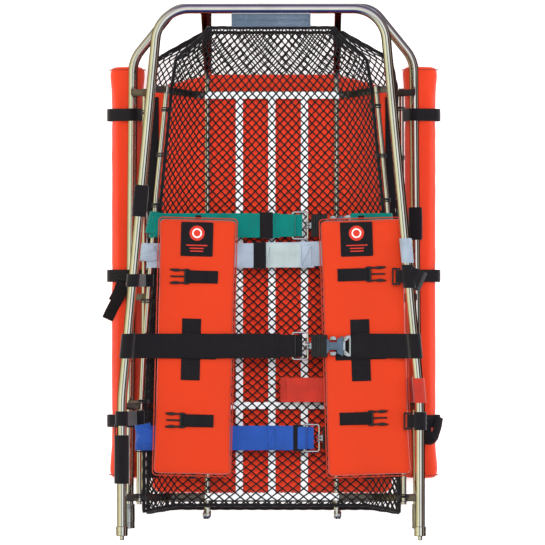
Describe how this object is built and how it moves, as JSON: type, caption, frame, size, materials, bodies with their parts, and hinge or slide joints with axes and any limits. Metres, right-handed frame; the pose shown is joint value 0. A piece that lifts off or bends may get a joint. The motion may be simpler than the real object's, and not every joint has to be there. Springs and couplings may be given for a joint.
{
  "type": "folding stretcher",
  "caption": "Folding basket stretcher of chrome tube with net, flat bed slats, flotation logs, chest pads, colour-coded restraint straps and locking sleeves, folded in half.",
  "frame": {"origin": "on the floor under the middle of the folded stretcher's bounding box", "axes": "+Z up, +Y from the hinged, open-ended end to the closed end, +X to the right seen from above with +Y up"},
  "size_m": [0.692, 1.074, 0.4276],
  "materials": {
    "chrome": "polished tube",
    "steel": "satin",
    "slat": "bright flat bar",
    "net": "knotted cord",
    "nameplate": "satin blue-grey",
    "red_fabric": "coated woven nylon",
    "orange_fabric": "coated woven nylon",
    "black_webbing": "woven webbing",
    "grey_webbing": "woven webbing",
    "red_webbing": "woven webbing",
    "green_webbing": "woven webbing",
    "blue_webbing": "woven webbing",
    "black_plastic": "moulded nylon"
  },
  "bodies": {
    "foot_half": {"foot_top_rail": "chrome", "foot_side_frame": "chrome", "foot_runner_left": "chrome", "foot_runner_right": "chrome", "foot_bed_slats": "slat", "foot_net": "net", "nameplate": "nameplate", "body_pad": "red_fabric", "rail_wrap_foot_left": "black_webbing", "rail_cover_left": "black_webbing", "ladder_lock_upper": "black_plastic", "ladder_lock_lower": "black_plastic", "strap_grey": "grey_webbing", "strap_red": "red_webbing", "strap_green_left": "green_webbing", "strap_green_right": "green_webbing", "strap_blue_left": "blue_webbing", "strap_blue_right": "blue_webbing", "strap_black_left": "black_webbing", "strap_black_right": "black_webbing", "chest_pad_left": "orange_fabric", "pad_cross_left": "black_webbing", "pad_label_left": "black_webbing", "pad_clip_left_upper": "black_plastic", "pad_clip_left_lower": "black_plastic", "chest_pad_right": "orange_fabric", "pad_cross_right": "black_webbing", "pad_label_right": "black_webbing", "pad_clip_right_upper": "black_plastic", "pad_clip_right_lower": "black_plastic", "ring_green": "chrome", "buckle_green": "black_plastic", "buckle_tongue_green": "steel", "ring_black": "chrome", "buckle_black": "black_plastic", "buckle_tongue_black": "steel", "ring_blue": "chrome", "buckle_blue": "black_plastic", "buckle_tongue_blue": "steel"},
    "hinge_link": {"hinge_link_left": "steel", "hinge_link_right": "steel"},
    "head_half": {"head_top_rail": "chrome", "head_side_frame": "chrome", "head_runner_left": "chrome", "head_runner_right": "chrome", "head_bed_slats": "slat", "head_net": "net", "flotation_log_left": "orange_fabric", "flotation_log_right": "orange_fabric", "log_bands_left": "black_webbing", "log_bands_right": "black_webbing", "rail_wrap_head_right": "black_webbing"},
    "lock_sleeve_left": {"lock_sleeve_left": "steel"},
    "lock_sleeve_right": {"lock_sleeve_right": "steel"},
    "release_tab_green_upper": {"release_tab_green_upper": "steel"},
    "release_tab_green_lower": {"release_tab_green_lower": "steel"},
    "release_tab_black_upper": {"release_tab_black_upper": "steel"},
    "release_tab_black_lower": {"release_tab_black_lower": "steel"},
    "release_tab_blue_upper": {"release_tab_blue_upper": "steel"},
    "release_tab_blue_lower": {"release_tab_blue_lower": "steel"}
  },
  "joints": [
    {"name": "link_fold", "type": "hinge", "parent": "foot_half", "child": "hinge_link", "pos_m": [0, -0.49249, 0.2731], "axis": [-1, 0, 0], "range_deg": [0, 90]},
    {"name": "head_fold", "type": "hinge", "parent": "hinge_link", "child": "head_half", "pos_m": [0, -0.49249, 0.2011], "axis": [-1, 0, 0], "range_deg": [0, 90]},
    {"name": "sleeve_left_pull", "type": "slide", "parent": "head_half", "child": "lock_sleeve_left", "axis": [0, 1, 0], "range_m": [0, 0.0086], "stiffness_N_per_m": 500, "springref_m": -0.01},
    {"name": "sleeve_right_pull", "type": "slide", "parent": "head_half", "child": "lock_sleeve_right", "axis": [0, 1, 0], "range_m": [0, 0.0086], "stiffness_N_per_m": 500, "springref_m": -0.01},
    {"name": "release_tab_green_upper_press", "type": "slide", "parent": "foot_half", "child": "release_tab_green_upper", "axis": [0, -1, 0], "range_m": [0, 0.003], "stiffness_N_per_m": 800, "springref_m": -0.002},
    {"name": "release_tab_green_lower_press", "type": "slide", "parent": "foot_half", "child": "release_tab_green_lower", "axis": [0, 1, 0], "range_m": [0, 0.003], "stiffness_N_per_m": 800, "springref_m": -0.002},
    {"name": "release_tab_black_upper_press", "type": "slide", "parent": "foot_half", "child": "release_tab_black_upper", "axis": [0, -1, 0], "range_m": [0, 0.003], "stiffness_N_per_m": 800, "springref_m": -0.002},
    {"name": "release_tab_black_lower_press", "type": "slide", "parent": "foot_half", "child": "release_tab_black_lower", "axis": [0, 1, 0], "range_m": [0, 0.003], "stiffness_N_per_m": 800, "springref_m": -0.002},
    {"name": "release_tab_blue_upper_press", "type": "slide", "parent": "foot_half", "child": "release_tab_blue_upper", "axis": [0, -1, 0], "range_m": [0, 0.003], "stiffness_N_per_m": 800, "springref_m": -0.002},
    {"name": "release_tab_blue_lower_press", "type": "slide", "parent": "foot_half", "child": "release_tab_blue_lower", "axis": [0, 1, 0], "range_m": [0, 0.003], "stiffness_N_per_m": 800, "springref_m": -0.002}
  ],
  "couplings": [
    {"joint": "head_fold", "follows": "link_fold", "ratio": 1}
  ]
}
